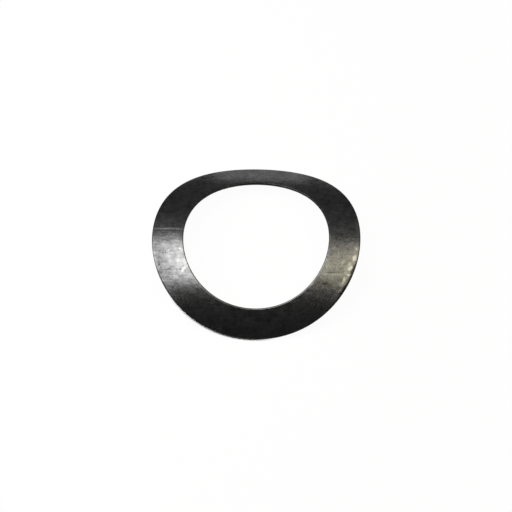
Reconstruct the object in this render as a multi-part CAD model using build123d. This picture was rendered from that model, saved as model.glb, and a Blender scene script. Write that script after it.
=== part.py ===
from build123d import *
import os
from math import cos, pi, sin

# A single-wave washer, also called a curved spring washer, for a half-inch shaft. It is one
# ring of spring steel, punched flat and then bent about one axis, so that it arches over
# the shaft's centre and its two legs come down on either side.
#
# X runs along the crest of the arch and the legs fall away to -Y and +Y. The washer lies
# arch up, as it does on a bench: Z = 0 is the surface that the two legs stand on.

# Driving dimensions, in millimetres. Diameters are those of the flat blank.
shaft_diameter = 12.7
hole_allowance = 1.0      # play round the shaft; bending uses up most of it across the legs
outside_diameter = 19.6
sheet_thickness = 0.3
bend_radius = 13.6        # to the middle of the sheet
edge_radius = 0.1         # the roundness that tumbling leaves on every edge

curve_points = 48         # places worked out round each bent circle

hole_diameter = shaft_diameter + hole_allowance
underside_radius = bend_radius - sheet_thickness / 2
roll_length = 1.5 * outside_diameter
rounding = min(edge_radius, 0.45 * sheet_thickness)


def bent_circle(diameter):
    """A circle of the flat blank, as it lies on the underside of the bent sheet.

    Bending leaves lengths along the crest as they were. Lengths across it stay true along
    the middle of the sheet, so each point leans by its distance over the bend radius.
    """
    points = []
    for step in range(curve_points):
        turn = 2 * pi * step / curve_points
        along_crest = diameter / 2 * cos(turn)
        across_crest = diameter / 2 * sin(turn)
        lean = across_crest / bend_radius
        points.append((along_crest, underside_radius * sin(lean), underside_radius * cos(lean)))
    return Spline(*points, periodic=True)


def bent_ring():
    """The underside of the washer: a patch of the forming roll between its two circles."""
    forming_roll = Cylinder(underside_radius, roll_length, rotation=(0, 90, 0))
    roll_skin = forming_roll.faces().filter_by(GeomType.CYLINDER)[0]
    disc = roll_skin.split_by_perimeter(bent_circle(outside_diameter), Keep.INSIDE).faces()[0]
    return disc.split_by_perimeter(bent_circle(hole_diameter), Keep.OUTSIDE).faces()[0]


def tumbled_washer():
    """The ring at its full thickness, walls square to the sheet, with all four rims rounded."""
    sharp_washer = Solid.thicken(bent_ring(), sheet_thickness)
    rims = sharp_washer.edges().filter_by(lambda edge: edge.is_closed)
    return fillet(rims, rounding)


def set_down(washer):
    """Lower the washer from round the roll's axis until its legs stand on Z = 0."""
    return Pos(0, 0, -washer.bounding_box().min.Z) * washer


wave_washer = set_down(tumbled_washer())
wave_washer.label = "wave_washer"

os.makedirs("parts", exist_ok=True)
export_step(wave_washer, "parts/wave_washer.step")
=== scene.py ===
import bpy
from math import cos, radians, sin
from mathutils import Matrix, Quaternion, Vector


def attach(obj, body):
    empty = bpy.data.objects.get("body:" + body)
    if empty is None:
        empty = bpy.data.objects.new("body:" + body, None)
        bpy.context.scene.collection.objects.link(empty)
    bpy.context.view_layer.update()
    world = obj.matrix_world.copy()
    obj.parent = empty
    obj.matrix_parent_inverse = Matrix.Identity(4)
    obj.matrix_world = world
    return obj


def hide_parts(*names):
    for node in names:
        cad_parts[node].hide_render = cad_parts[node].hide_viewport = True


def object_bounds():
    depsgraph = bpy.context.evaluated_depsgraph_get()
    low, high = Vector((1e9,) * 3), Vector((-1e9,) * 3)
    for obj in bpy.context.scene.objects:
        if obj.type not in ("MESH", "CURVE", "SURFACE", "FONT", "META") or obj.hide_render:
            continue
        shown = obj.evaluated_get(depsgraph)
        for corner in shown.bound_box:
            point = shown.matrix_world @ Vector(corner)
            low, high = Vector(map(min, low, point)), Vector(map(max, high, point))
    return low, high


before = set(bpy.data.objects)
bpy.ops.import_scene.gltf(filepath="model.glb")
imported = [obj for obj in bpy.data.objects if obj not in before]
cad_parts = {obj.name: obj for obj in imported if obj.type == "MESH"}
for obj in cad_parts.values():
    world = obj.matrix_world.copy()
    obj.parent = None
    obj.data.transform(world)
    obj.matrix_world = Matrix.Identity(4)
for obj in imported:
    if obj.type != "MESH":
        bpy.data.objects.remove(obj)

cad_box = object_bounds()
scene = bpy.context.scene


# ---------------------------------------------------------------------------------------
# Washer. The one piece: a ring punched from cold-rolled spring strip, tumbled until its
# edges are round, then bent about one axis so that it arches over the hole. Nothing is
# fixed to it. The crest runs along X, and the two legs fall away to -Y and +Y.

MM = 0.001
outside_diameter = 19.6 * MM
hole_diameter = 13.7 * MM
sheet_thickness = 0.3 * MM
edge_radius = 0.1 * MM
bend_radius = 13.6 * MM      # to the middle of the sheet
ring_steps = 320             # faces round the ring
edge_steps = 6               # faces round the corner of each rim
band_step = 0.12 * MM        # length of a face on a straight stretch of the section


def add(tree, kind, inputs=(), **settings):
    """Adds one node with its settings. Each input takes a value, a socket, or a node, which
    stands for its first output in use."""
    node = tree.nodes.new(kind)
    for name, value in settings.items():
        setattr(node, name, value)
    for key, value in dict(inputs).items():
        if isinstance(value, bpy.types.Node):
            value = next(output for output in value.outputs if output.enabled)
        if isinstance(value, bpy.types.NodeSocket):
            tree.links.new(value, node.inputs[key])
        else:
            node.inputs[key].default_value = value
    return node


washer_tree = bpy.data.node_groups.new("bent_ring", "GeometryNodeTree")
washer_tree.interface.new_socket("Geometry", in_out="OUTPUT", socket_type="NodeSocketGeometry")
washer_sizes = []
for name, socket_type, value in (
        ("Outside Diameter", "NodeSocketFloat", outside_diameter),
        ("Hole Diameter", "NodeSocketFloat", hole_diameter),
        ("Sheet Thickness", "NodeSocketFloat", sheet_thickness),
        ("Edge Radius", "NodeSocketFloat", edge_radius),
        ("Bend Radius", "NodeSocketFloat", bend_radius),
        ("Band Step", "NodeSocketFloat", band_step),
        ("Ring Steps", "NodeSocketInt", ring_steps),
        ("Edge Steps", "NodeSocketInt", edge_steps)):
    socket = washer_tree.interface.new_socket(name, in_out="INPUT", socket_type=socket_type)
    washer_sizes.append((socket, value))
washer_finish = washer_tree.interface.new_socket(
    "Finish", in_out="INPUT", socket_type="NodeSocketMaterial")
given = add(washer_tree, "NodeGroupInput").outputs

# The section of the flat band: a rectangle with its four corners rounded, and the straight
# stretches cut into short faces, because they have to bend.
diameters_apart = add(washer_tree, "ShaderNodeMath", {
    0: given["Outside Diameter"], 1: given["Hole Diameter"]}, operation="SUBTRACT")
diameters_added = add(washer_tree, "ShaderNodeMath", {
    0: given["Outside Diameter"], 1: given["Hole Diameter"]}, operation="ADD")
band_width = add(washer_tree, "ShaderNodeMath", {0: diameters_apart, 1: 2.0}, operation="DIVIDE")
middle_radius = add(washer_tree, "ShaderNodeMath", {0: diameters_added, 1: 4.0}, operation="DIVIDE")
band_section = add(washer_tree, "GeometryNodeCurvePrimitiveQuadrilateral", {
    "Width": band_width, "Height": given["Sheet Thickness"]})
rounded_section = add(washer_tree, "GeometryNodeFilletCurve", {
    "Curve": band_section, "Count": given["Edge Steps"], "Radius": given["Edge Radius"]},
    mode="POLY")
place = add(washer_tree, "GeometryNodeInputPosition")
index = add(washer_tree, "GeometryNodeInputIndex")
index_after = add(washer_tree, "ShaderNodeMath", {0: index, 1: 1.0}, operation="ADD")
point_count = add(washer_tree, "GeometryNodeAttributeDomainSize", {
    "Geometry": rounded_section}, component="CURVE")
next_index = add(washer_tree, "ShaderNodeMath", {
    0: index_after, 1: point_count}, operation="MODULO")
next_place = add(washer_tree, "GeometryNodeFieldAtIndex", {
    "Value": place, "Index": next_index}, data_type="FLOAT_VECTOR", domain="POINT")
stretch = add(washer_tree, "ShaderNodeVectorMath", {0: place, 1: next_place}, operation="DISTANCE")
faces_long = add(washer_tree, "ShaderNodeMath", {
    0: stretch, 1: given["Band Step"]}, operation="DIVIDE")
cuts = add(washer_tree, "ShaderNodeMath", {0: faces_long}, operation="FLOOR")
cut_section = add(washer_tree, "GeometryNodeSubdivideCurve", {
    "Curve": rounded_section, "Cuts": cuts})

# The section goes once round the hole, which makes the flat blank.
middle_circle = add(washer_tree, "GeometryNodeCurvePrimitiveCircle", {
    "Resolution": given["Ring Steps"], "Radius": middle_radius})
flat_blank = add(washer_tree, "GeometryNodeCurveToMesh", {
    "Curve": middle_circle, "Profile Curve": cut_section})

# Each point keeps its place on the flat blank, for the finish to follow, and then leans by
# its distance from the crest over the bend radius, at its own height in the sheet.
marked_blank = add(washer_tree, "GeometryNodeStoreNamedAttribute", {
    "Geometry": flat_blank, "Name": "blank_place", "Value": place},
    data_type="FLOAT_VECTOR", domain="POINT")
flat = add(washer_tree, "ShaderNodeSeparateXYZ", {0: place}).outputs
lean = add(washer_tree, "ShaderNodeMath", {
    0: flat["Y"], 1: given["Bend Radius"]}, operation="DIVIDE")
reach = add(washer_tree, "ShaderNodeMath", {
    0: flat["Z"], 1: given["Bend Radius"]}, operation="ADD")
lean_sine = add(washer_tree, "ShaderNodeMath", {0: lean}, operation="SINE")
lean_cosine = add(washer_tree, "ShaderNodeMath", {0: lean}, operation="COSINE")
across = add(washer_tree, "ShaderNodeMath", {0: reach, 1: lean_sine}, operation="MULTIPLY")
upwards = add(washer_tree, "ShaderNodeMath", {0: reach, 1: lean_cosine}, operation="MULTIPLY")
bent_place = add(washer_tree, "ShaderNodeCombineXYZ", {"X": flat["X"], "Y": across, "Z": upwards})
bent_ring = add(washer_tree, "GeometryNodeSetPosition", {
    "Geometry": marked_blank, "Position": bent_place})

# The legs are set down on Z = 0.
lowest_corner = add(washer_tree, "GeometryNodeBoundBox", {"Geometry": bent_ring}).outputs["Min"]
lowest = add(washer_tree, "ShaderNodeSeparateXYZ", {0: lowest_corner}).outputs["Z"]
drop_height = add(washer_tree, "ShaderNodeMath", {0: lowest, 1: -1.0}, operation="MULTIPLY")
drop = add(washer_tree, "ShaderNodeCombineXYZ", {"Z": drop_height})
standing_ring = add(washer_tree, "GeometryNodeTransform", {
    "Geometry": bent_ring, "Translation": drop})
smooth_ring = add(washer_tree, "GeometryNodeSetShadeSmooth", {"Geometry": standing_ring})
real_ring = add(washer_tree, "GeometryNodeRealizeInstances", {"Geometry": smooth_ring})
finished_ring = add(washer_tree, "GeometryNodeSetMaterial", {
    "Geometry": real_ring, "Material": given["Finish"]})
add(washer_tree, "NodeGroupOutput", {"Geometry": finished_ring})


def linear(hex_colour):
    """A hex sRGB colour as linear red, green, blue and alpha."""
    channels = [int(hex_colour[i:i + 2], 16) / 255 for i in (1, 3, 5)]
    return [c / 12.92 if c <= 0.04045 else ((c + 0.055) / 1.055) ** 2.4 for c in channels] + [1.0]


# Cold-rolled spring steel, blackened and oiled. The eye sees a dark metal that mirrors its
# surroundings softly, cloudy where the black is thin or stained, and duller at the edges,
# where the punch cut and the tumbling rounded. Some of its marks, and part of the black at
# its edges, are painted highlight and painted shade. The black keeps it from turning bright
# at a low angle as bare steel does, which the specular tint gives.
steel = bpy.data.materials.new("blackened_spring_steel")
steel.use_nodes = True
steel_tree = steel.node_tree
steel_tree.nodes.clear()

# Places on the flat blank in millimetres, so that marks follow the sheet round its bend.
blank_metres = add(steel_tree, "ShaderNodeAttribute", attribute_name="blank_place")
blank_place = add(steel_tree, "ShaderNodeVectorMath", {
    0: blank_metres.outputs["Vector"], "Scale": 1 / MM}, operation="SCALE")
flat_place = add(steel_tree, "ShaderNodeVectorMath", {
    0: blank_place, 1: (1, 1, 0)}, operation="MULTIPLY")
height = add(steel_tree, "ShaderNodeSeparateXYZ", {0: blank_place}).outputs["Z"]
on_top = add(steel_tree, "ShaderNodeMath", {0: height, 1: 0.0}, operation="GREATER_THAN")

# Brightness goes from 0, where the black is at its thickest, to 1, where the steel is bare.
plain_brightness = 0.32

# Marks of wear and stain on the top, some of them painted highlight or painted shade: middle
# x and y, half length and half width in millimetres, turn from the crest line in degrees,
# share of it that is soft edge, over how many millimetres its outline strays, and how much
# brighter the steel is there, or darker where that is below zero.
wear_and_painted_light_marks = (
    # Rubbed along the bending tool's groove on the left of the crest, and partly a
    #     # painted highlight of the groove's flank.
    (-8.40,  0.50, 3.20, 0.28,   1, 1.0, 0.0,  0.32),
    (-8.30,  0.70, 2.00, 0.09,   2, 1.0, 0.0,  0.15),
    # A dark stain by the left rim, with blacker spots in it.
    (-8.90, -2.60, 2.30, 0.80, 100, 0.9, 1.2, -0.17),
    (-9.40, -1.00, 1.20, 0.50,  92, 0.9, 1.2, -0.10),
    (-8.30, -3.70, 0.90, 0.70,  20, 0.9, 1.2, -0.10),
    (-8.98, -3.05, 0.24, 0.14, 110, 0.8, 0.4, -0.24),
    (-8.90, -3.70, 0.22, 0.14, 110, 0.8, 0.4, -0.15),
    (-8.15, -4.22, 0.34, 0.18,  20, 0.8, 0.4, -0.18),
    (-7.66, -3.96, 0.14, 0.10,   0, 0.8, 0.3, -0.20),
    # A bright nick below the stain, and the rim brighter again from there on, partly as a
    #     # painted highlight that carries the lamp's reflection further forward.
    (-8.48, -4.52, 0.25, 0.12, 150, 0.8, 0.4,  0.40),
    (-8.00, -5.20, 1.00, 0.70, 120, 1.0, 0.6,  0.14),
    (-7.40, -4.25, 0.75, 0.35,   0, 1.0, 0.5,  0.13),
    (-7.50, -6.00, 1.60, 0.60, 129, 1.0, 0.5,  0.22),
    # Rubbed bright beside the hole on the left, and scratches there.
    (-7.25, -1.90, 2.00, 0.60, 103, 0.9, 1.0,  0.15),
    (-6.60, -2.70, 1.00, 0.20, 111, 0.9, 0.4,  0.18),
    (-6.62, -3.40, 0.60, 0.20,  59, 1.0, 0.6,  0.34),
    (-7.05, -1.42, 0.22, 0.12,   0, 0.9, 0.3,  0.35),
    (-7.20, -1.58, 0.34, 0.06,   3, 0.9, 0.2, -0.24),
    (-7.30, -1.22, 0.20, 0.07,   0, 0.9, 0.2, -0.20),
    (-6.93, -3.42, 0.14, 0.10,   0, 0.9, 0.3, -0.20),
    # The hole's rim on the left, rubbed.
    (-6.88,  0.30, 1.00, 0.17,  88, 0.9, 0.0,  0.20),
    (-6.82, -1.00, 1.10, 0.17,  98, 0.9, 0.0,  0.33),
    (-6.40, -2.60, 1.10, 0.17, 112, 0.9, 0.0,  0.35),
    # A darker stretch beside the hole on the right.
    ( 6.90, -1.20, 1.60, 0.50,  95, 0.9, 1.2, -0.04),
    ( 6.50, -4.20, 1.20, 0.70, 150, 0.9, 1.0, -0.17),
    # Scuffs along and across the band on the right. The first two are the painted shade and
    #     # the painted highlight of the two flanks of the groove there.
    ( 7.10, -3.29, 1.30, 0.08,   1, 0.9, 0.0, -0.08),
    ( 7.40, -3.47, 1.20, 0.12,   1, 0.9, 0.0,  0.12),
    ( 7.80, -2.13, 0.32, 0.07,   1, 0.9, 0.0,  0.18),
    ( 7.40, -3.00, 0.90, 0.25,   0, 1.0, 0.5,  0.09),
    ( 7.20, -4.00, 1.00, 0.30,   0, 1.0, 0.5, -0.08),
    ( 7.62, -2.72, 0.16, 0.09, 140, 0.9, 0.0,  0.30),
    ( 7.25, -1.17, 0.36, 0.08,   0, 0.9, 0.2, -0.16),
    ( 8.52, -1.24, 0.26, 0.07,   5, 0.9, 0.2, -0.16),
    ( 6.70, -2.75, 0.50, 0.12, 100, 0.9, 0.2,  0.20),
    ( 6.74, -2.06, 0.18, 0.09,  95, 0.9, 0.2,  0.18),
    ( 7.28,  0.05, 0.95, 0.06,  90, 0.9, 0.0,  0.12),
    ( 7.00,  0.00, 1.05, 0.05,  90, 0.9, 0.0,  0.10),
    ( 7.79, -1.45, 0.60, 0.12,  90, 0.9, 0.0,  0.13),
    ( 9.14,  1.02, 0.24, 0.08,  88, 0.9, 0.0, -0.25),
    # The bending tool's line beside the crest on the right, and darker beyond it.
    ( 8.00,  0.93, 1.20, 0.10,   0, 0.9, 0.0,  0.07),
    ( 8.00,  1.40, 1.30, 0.30,   0, 1.0, 0.0, -0.05),
    # Rubbed nearly bare by the right rim, in patches.
    ( 8.90, -0.90, 1.60, 0.80,  80, 1.0, 0.8,  0.09),
    ( 9.45, -1.00, 1.00, 0.38,  84, 1.0, 0.3,  0.22),
    ( 9.50,  1.30, 1.60, 0.35,  98, 1.0, 0.3,  0.20),
    ( 8.90, -2.60, 1.70, 0.50,  70, 1.0, 0.9,  0.20),
    ( 9.44, -0.96, 0.20, 0.13,  90, 0.8, 0.3,  0.45),
    ( 9.27, -1.80, 0.48, 0.20,  72, 0.7, 0.6,  0.75),
    ( 8.93, -2.84, 0.40, 0.20,  60, 0.7, 0.6,  0.70),
    ( 8.76, -3.48, 0.15, 0.13,   0, 0.8, 0.3,  0.55),
    ( 8.36, -4.03, 0.40, 0.19,  52, 0.7, 0.6,  0.65),
    ( 8.08, -4.50, 0.16, 0.10,  50, 0.8, 0.3,  0.45),
    ( 8.02, -4.90, 0.28, 0.11,  58, 0.8, 0.3,  0.40),
    ( 8.30, -4.20, 0.90, 0.40,  57, 1.0, 0.8,  0.18),
    # The next two are partly a painted highlight, carrying the lamp's reflection further forward.
    ( 7.70, -5.20, 1.00, 0.45,  55, 1.0, 0.6,  0.26),
    ( 7.40, -5.90, 1.60, 0.60,  51, 1.0, 0.5,  0.22),
    # The black left on that rim, drawn darker as painted shade of its rounded edge.
    ( 9.14, -3.22, 1.30, 0.20,  70, 0.5, 0.3, -0.42),
    ( 8.44, -4.72, 1.00, 0.19,  58, 0.5, 0.3, -0.42),
    # The shoulders of the far leg are darker.
    (-5.40,  7.40, 2.40, 1.50,  36, 1.0, 0.8, -0.24),
    ( 5.40,  7.40, 2.40, 1.50, -36, 1.0, 0.8, -0.19),
)
stray_length = 0.5      # millimetres over which a mark's outline strays in and out
stray_noise = add(steel_tree, "ShaderNodeTexNoise", {
    "Vector": blank_place, "Scale": 1 / stray_length, "Detail": 4.0, "Roughness": 0.6})
stray = add(steel_tree, "ShaderNodeVectorMath", {
    0: stray_noise.outputs["Color"], 1: (0.5, 0.5, 0.5)}, operation="SUBTRACT")


def share_of_reach(x, y, half_length, half_width, turn, straying_far):
    """How far a place lies from the middle of a mark: 0 there, and 1 at its outline."""
    strayed_place = add(steel_tree, "ShaderNodeVectorMath", {
        0: stray, 1: (straying_far, straying_far, 0), 2: flat_place}, operation="MULTIPLY_ADD")
    in_mark = add(steel_tree, "ShaderNodeMapping", {
        "Vector": strayed_place, "Location": (x, y, 0), "Rotation": (0, 0, radians(turn)),
        "Scale": (half_length, half_width, 1)}, vector_type="TEXTURE")
    return add(steel_tree, "ShaderNodeVectorMath", {0: in_mark}, operation="LENGTH")


wear_and_painted_light = 0.0
for x, y, half_length, half_width, turn, softness, straying_far, change in wear_and_painted_light_marks:
    amount = add(steel_tree, "ShaderNodeMapRange", {
        "Value": share_of_reach(x, y, half_length, half_width, turn, straying_far),
        "From Min": 1.0, "From Max": 1.0 - softness, "To Max": change},
        interpolation_type="SMOOTHSTEP")
    wear_and_painted_light = add(steel_tree, "ShaderNodeMath", {0: wear_and_painted_light, 1: amount}, operation="ADD")
brightness = add(steel_tree, "ShaderNodeMath", {
    0: wear_and_painted_light, 1: on_top, 2: plain_brightness}, operation="MULTIPLY_ADD")

# The unevenness of the black, all over: about how wide its patches are in millimetres, how
# fine they go, how many times longer they are along the strip, the two levels of the noise
# between which they change, and the change in brightness at each of those levels. Real
# rolling lines are only a few hundredths of a millimetre wide, and real specks and pits a
# tenth or less, so both are drawn coarser here, or they would not show.
noise_low = 0.25        # nearly all of a noise lies between these two levels
noise_high = 0.75
patches = (
    (1.20, 4.0,  1, noise_low, noise_high, -0.055, 0.055),     # clouds
    (0.45, 4.0,  1, noise_low, noise_high, -0.080, 0.080),     # mottling
    (0.28, 3.0,  1, noise_low, noise_high, -0.050, 0.050),     # finer mottling
    (0.16, 2.0, 16, noise_low, noise_high, -0.045, 0.045),     # lines from the rolling mill
    (0.30, 2.0,  1, 0.62, 0.72, 0.0, 0.2),                     # specks rubbed bare
    (0.35, 2.0,  1, 0.38, 0.30, 0.0, -0.12),                   # pits that hold more black
)
patches_apart = 7.3     # moves each pattern along the noise, so that no two are alike
for number, patch in enumerate(patches):
    width, detail, times_longer, level_1, level_2, change_1, change_2 = patch
    patch_place = add(steel_tree, "ShaderNodeMapping", {
        "Vector": blank_place, "Location": (patches_apart * number, 0, 0),
        "Scale": (1 / (width * times_longer), 1 / width, 1 / width)})
    patch_noise = add(steel_tree, "ShaderNodeTexNoise", {
        "Vector": patch_place, "Scale": 1.0, "Detail": detail, "Roughness": 0.6})
    change = add(steel_tree, "ShaderNodeMapRange", {
        "Value": patch_noise, "From Min": level_1, "From Max": level_2,
        "To Min": change_1, "To Max": change_2}, interpolation_type="SMOOTHSTEP")
    brightness = add(steel_tree, "ShaderNodeMath", {0: brightness, 1: change}, operation="ADD")

# The punched walls are blacker and duller than the rolled faces, from part of the way round
# the corner. Part of that black is painted shade, standing for the shaded paper that the
# walls mirror, and it also hides the glint on the corner.
face_level = sheet_thickness / 2 / MM       # in millimetres from the middle of the sheet
face_until = face_level - 0.002
wall_from = face_level - 0.025
wall_black_and_painted_shade = 0.34
level = add(steel_tree, "ShaderNodeMath", {0: height}, operation="ABSOLUTE")
cut_edge = add(steel_tree, "ShaderNodeMapRange", {
    "Value": level, "From Min": face_until, "From Max": wall_from},
    interpolation_type="SMOOTHSTEP")
brightness = add(steel_tree, "ShaderNodeMath", {
    0: cut_edge, 1: -wall_black_and_painted_shade, 2: brightness}, operation="MULTIPLY_ADD")
steel_colour = add(steel_tree, "ShaderNodeMix", {     # inputs 6 and 7 are its two colours
    0: brightness, 6: linear("#2e2e2e"), 7: linear("#969696")}, data_type="RGBA")

# The rolled faces are duller in some places than in others, and the walls duller still.
glossy_roughness = 0.19
dull_roughness = 0.26
wall_roughness = 0.38
dull_length = 0.8       # millimetres from one dull place to the next
dull_noise = add(steel_tree, "ShaderNodeTexNoise", {
    "Vector": blank_place, "Scale": 1 / dull_length, "Detail": 4.0, "Roughness": 0.6})
face_roughness = add(steel_tree, "ShaderNodeMapRange", {
    "Value": dull_noise, "From Min": noise_low, "From Max": noise_high,
    "To Min": glossy_roughness, "To Max": dull_roughness})
steel_roughness = add(steel_tree, "ShaderNodeMapRange", {
    "Value": cut_edge, "To Min": face_roughness, "To Max": wall_roughness})

# Rolled strip is never quite flat: its waves are about a millimetre long and a few
# thousandths of a millimetre deep, with finer ones on them. The edges of the bending tool
# have left two faint grooves on the top. Lengths and heights are in millimetres.
relief = 0.0
for wave_length, wave_height in ((1.0, 0.02), (0.3, 0.003)):
    waves = add(steel_tree, "ShaderNodeTexNoise", {
        "Vector": blank_place, "Scale": 1 / wave_length, "Detail": 2.0, "Roughness": 0.6})
    relief = add(steel_tree, "ShaderNodeMath", {
        0: waves, 1: wave_height, 2: relief}, operation="MULTIPLY_ADD")
grooves = (     # middle x and y, half length and half width, turn in degrees, depth
    (-8.3,  0.48, 3.2, 0.18, 1, 0.0065),
    ( 7.3, -3.38, 1.5, 0.14, 1, 0.0040),
)
for x, y, half_length, half_width, turn, depth in grooves:
    groove = add(steel_tree, "ShaderNodeMapRange", {
        "Value": share_of_reach(x, y, half_length, half_width, turn, 0.0),
        "From Min": 1.0, "From Max": 0.0, "To Max": -depth}, interpolation_type="SMOOTHSTEP")
    relief = add(steel_tree, "ShaderNodeMath", {
        0: groove, 1: on_top, 2: relief}, operation="MULTIPLY_ADD")
waviness = add(steel_tree, "ShaderNodeBump", {
    "Strength": 1.0, "Distance": 1.0 * MM, "Height": relief})
steel_shader = add(steel_tree, "ShaderNodeBsdfPrincipled", {
    "Base Color": steel_colour, "Metallic": 1.0, "Roughness": steel_roughness,
    "Specular Tint": linear("#c0c0c0"), "Normal": waviness})
add(steel_tree, "ShaderNodeOutputMaterial", {"Surface": steel_shader})

washer_mesh = bpy.data.meshes.new("wave_washer_steel")
washer = bpy.data.objects.new("wave_washer_steel", washer_mesh)
scene.collection.objects.link(washer)
ring_maker = washer.modifiers.new("bent_ring", "NODES")
ring_maker.node_group = washer_tree
for socket, value in washer_sizes:
    ring_maker[socket.identifier] = value
ring_maker[washer_finish.identifier] = steel
made_mesh = bpy.data.meshes.new_from_object(
    washer.evaluated_get(bpy.context.evaluated_depsgraph_get()))
washer.modifiers.remove(ring_maker)
washer.data = made_mesh
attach(washer, "root")
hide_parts("wave_washer")


# ---------------------------------------------------------------------------------------
# Bench. A sheet of white paper that the washer lies on. It isn't part of the object. Seen
# directly or mirrored, it is mostly plain white and keeps a faint shadow under the washer.
# Only close under the left of the near leg does it keep that shadow whole.

paper_radius = 1200 * MM
paper_corners = 72
white_near = 0.96               # share of plain white in the paper under the washer
white_near_until = 12 * MM      # how far from the washer's middle that reaches
white_far_from = 70 * MM        # where the paper is plain white altogether
corner_turns = [radians(360 / paper_corners * corner) for corner in range(paper_corners)]
paper_mesh = bpy.data.meshes.new("paper")
paper_mesh.from_pydata(
    [(paper_radius * cos(turn), paper_radius * sin(turn), 0) for turn in corner_turns],
    [], [tuple(range(paper_corners))])
paper = bpy.data.objects.new("paper", paper_mesh)
scene.collection.objects.link(paper)

white_paper = bpy.data.materials.new("white_paper")
white_paper.use_nodes = True
paper_tree = white_paper.node_tree
paper_tree.nodes.clear()
matt_paper = add(paper_tree, "ShaderNodeBsdfDiffuse", {"Color": linear("#f0f0f0")})
plain_white = add(paper_tree, "ShaderNodeEmission", {
    "Color": linear("#ffffff"), "Strength": 1.0})
ray = add(paper_tree, "ShaderNodeLightPath").outputs
seen = ray["Is Camera Ray"]
for kind_of_ray in ("Is Glossy Ray", "Is Transmission Ray"):
    seen = add(paper_tree, "ShaderNodeMath", {0: seen, 1: ray[kind_of_ray]}, operation="MAXIMUM")
paper_place = add(paper_tree, "ShaderNodeTexCoord").outputs["Object"]
away = add(paper_tree, "ShaderNodeVectorMath", {0: paper_place}, operation="LENGTH")
whiteness = add(paper_tree, "ShaderNodeMapRange", {
    "Value": away, "From Min": white_near_until, "From Max": white_far_from,
    "To Min": white_near, "To Max": 1.0}, interpolation_type="SMOOTHSTEP")

# The whole shadow lies in a stretch of a ring on the paper, under the leg's outer rim. It
# fades inwards, outwards and towards its ends, each time from nothing to whole.
ring_middle = (0.12 * MM, 0.94 * MM, 0)
inward_fade = (8.8 * MM, 9.5 * MM)
outward_fade = (10.15 * MM, 9.95 * MM)
stretch_middle = radians(246)
stretch_fade = (radians(36), radians(20))
from_middle = add(paper_tree, "ShaderNodeVectorMath", {
    0: paper_place, 1: ring_middle}, operation="SUBTRACT")
ring_reach = add(paper_tree, "ShaderNodeVectorMath", {0: from_middle}, operation="LENGTH")
ring_direction = add(paper_tree, "ShaderNodeVectorMath", {0: from_middle}, operation="NORMALIZE")
near_stretch = add(paper_tree, "ShaderNodeVectorMath", {
    0: ring_direction, 1: (cos(stretch_middle), sin(stretch_middle), 0)}, operation="DOT_PRODUCT")
shadow_kept = 1.0
for measure, (nothing_at, whole_at) in (
        (ring_reach, inward_fade),
        (ring_reach, outward_fade),
        (near_stretch, [cos(turn) for turn in stretch_fade])):
    share = add(paper_tree, "ShaderNodeMapRange", {
        "Value": measure, "From Min": nothing_at, "From Max": whole_at},
        interpolation_type="SMOOTHSTEP")
    shadow_kept = add(paper_tree, "ShaderNodeMath", {
        0: shadow_kept, 1: share}, operation="MULTIPLY")
shadow_lost = add(paper_tree, "ShaderNodeMath", {0: 1.0, 1: shadow_kept}, operation="SUBTRACT")
plain_share = seen
for share in (whiteness, shadow_lost):
    plain_share = add(paper_tree, "ShaderNodeMath", {
        0: plain_share, 1: share}, operation="MULTIPLY")
seen_paper = add(paper_tree, "ShaderNodeMixShader", {
    0: plain_share, 1: matt_paper, 2: plain_white})
add(paper_tree, "ShaderNodeOutputMaterial", {"Surface": seen_paper})
paper_mesh.materials.append(white_paper)


# ---------------------------------------------------------------------------------------
# Light. Two soft boxes hang close above the washer, a neutral one over its left side and a
# weaker warm one over its right, so that the crest mirrors them. The legs mirror the room,
# which is dim, and the paper.

box_height = 80 * MM


def soft_box(name, x_span, y_span, front_fade, back_fade, brightness, colour):
    """A flat glowing card that fades towards its front and back edges, whiter at the back."""
    left, right = x_span
    front, back = y_span
    card_mesh = bpy.data.meshes.new(name)
    card_mesh.from_pydata(
        [(left, front, box_height), (left, back, box_height),
         (right, back, box_height), (right, front, box_height)], [], [(0, 1, 2, 3)])
    card = bpy.data.objects.new(name, card_mesh)
    scene.collection.objects.link(card)
    glow = bpy.data.materials.new(name)
    glow.use_nodes = True
    tree = glow.node_tree
    tree.nodes.clear()
    card_place = add(tree, "ShaderNodeTexCoord").outputs["Object"]
    along = add(tree, "ShaderNodeSeparateXYZ", {0: card_place}).outputs["Y"]
    from_front = add(tree, "ShaderNodeMapRange", {
        "Value": along, "From Min": front, "From Max": front + front_fade},
        interpolation_type="SMOOTHSTEP")
    from_back = add(tree, "ShaderNodeMapRange", {
        "Value": along, "From Min": back, "From Max": back - back_fade},
        interpolation_type="SMOOTHSTEP")
    strength = brightness
    for share in (from_front, from_back):
        strength = add(tree, "ShaderNodeMath", {0: strength, 1: share}, operation="MULTIPLY")
    tone = add(tree, "ShaderNodeMix", {     # inputs 6 and 7 are its two colours
        0: from_back, 6: linear("#ffffff"), 7: linear(colour)}, data_type="RGBA")
    shine = add(tree, "ShaderNodeEmission", {"Color": tone, "Strength": strength})
    add(tree, "ShaderNodeOutputMaterial", {"Surface": shine})
    card_mesh.materials.append(glow)
    card.visible_camera = False


soft_box("neutral_soft_box", x_span=(-200 * MM, -3 * MM), y_span=(-33.8 * MM, 36.5 * MM),
         front_fade=22 * MM, back_fade=18 * MM, brightness=5.8, colour="#ffffff")
soft_box("warm_soft_box", x_span=(3 * MM, 60 * MM), y_span=(-29.8 * MM, 47 * MM),
         front_fade=17 * MM, back_fade=38 * MM, brightness=2.55, colour="#fff7d6")

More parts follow.
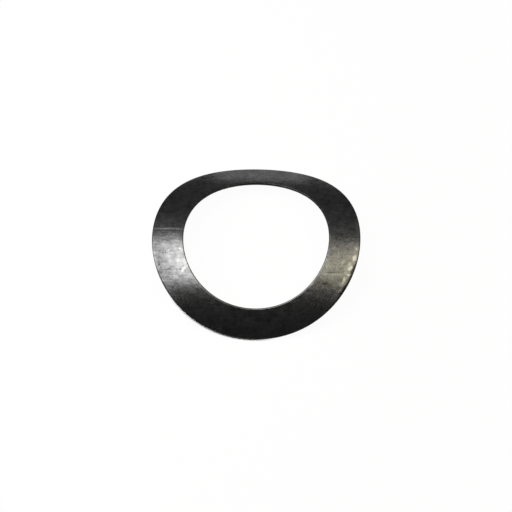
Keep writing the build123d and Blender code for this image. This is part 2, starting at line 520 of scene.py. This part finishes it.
# The room is dimmer in front of the washer than behind it. A glow lies low all round it, and
# another fills a round patch of the ceiling, a little behind straight overhead.
front_strength = 0.10
back_strength = 0.19
front_until = -0.6              # how far back a direction points where the front ends
back_from = 0.1                 # and where the back begins
low_strength = 0.30
low_until = 0.16                # how far up a direction points where that glow has gone
patch_strength = 0.19
patch_lean = radians(12)
patch_edge = radians(38)        # from the patch's middle to where it has faded away
patch_core = radians(15)        # and to where it starts to fade
world = bpy.data.worlds.new("room")
scene.world = world
world.use_nodes = True
room_tree = world.node_tree
room_tree.nodes.clear()
direction = add(room_tree, "ShaderNodeTexCoord").outputs["Generated"]
toward = add(room_tree, "ShaderNodeSeparateXYZ", {0: direction}).outputs
room_shade = add(room_tree, "ShaderNodeMapRange", {
    "Value": toward["Y"], "From Min": front_until, "From Max": back_from,
    "To Min": front_strength, "To Max": back_strength}, interpolation_type="SMOOTHSTEP")
low_glow = add(room_tree, "ShaderNodeMapRange", {
    "Value": toward["Z"], "From Min": 0.0, "From Max": low_until,
    "To Min": low_strength, "To Max": 0.0}, interpolation_type="SMOOTHSTEP")
towards_patch = add(room_tree, "ShaderNodeVectorMath", {
    0: direction, 1: (0, sin(patch_lean), cos(patch_lean))}, operation="DOT_PRODUCT")
high_glow = add(room_tree, "ShaderNodeMapRange", {
    "Value": towards_patch, "From Min": cos(patch_edge), "From Max": cos(patch_core),
    "To Min": 0.0, "To Max": patch_strength}, interpolation_type="SMOOTHSTEP")
room_strength = room_shade
for glow in (low_glow, high_glow):
    room_strength = add(room_tree, "ShaderNodeMath", {0: room_strength, 1: glow}, operation="ADD")
room_light = add(room_tree, "ShaderNodeBackground", {"Strength": room_strength})
add(room_tree, "ShaderNodeOutputWorld", {"Surface": room_light})


# ---------------------------------------------------------------------------------------
# Camera. A long lens looks steeply down on the washer, from a little to the right of the
# near leg and with a slight tilt.

view_azimuth = radians(6.26)
view_elevation = radians(63.76)
camera_tilt = radians(-4.0)
camera_distance = 150.8 * MM
lens_length = 112.8             # in millimetres, as the film's width is
film_width = 36
crest = Vector((0, 0, cad_box[1].z - sheet_thickness / 2))
aim_below_crest = 1.76 * MM     # as seen through the lens

camera = bpy.data.objects.new("camera", bpy.data.cameras.new("camera"))
scene.collection.objects.link(camera)
scene.camera = camera
camera.data.lens = lens_length
camera.data.sensor_width = film_width
camera.data.clip_start = 10 * MM
camera.data.clip_end = 5000 * MM
towards_camera = Vector((
    sin(view_azimuth) * cos(view_elevation),
    -cos(view_azimuth) * cos(view_elevation),
    sin(view_elevation)))
level_turn = (-towards_camera).to_track_quat("-Z", "Y")
tilted_turn = level_turn @ Quaternion((0, 0, 1), camera_tilt)
camera.location = crest + camera_distance * towards_camera
aim = crest - aim_below_crest * (tilted_turn @ Vector((0, 1, 0)))
final_turn = (aim - camera.location).to_track_quat("-Z", "Y") @ Quaternion((0, 0, 1), camera_tilt)
camera.rotation_mode = "QUATERNION"
camera.rotation_quaternion = final_turn

scene.view_settings.view_transform = "Standard"
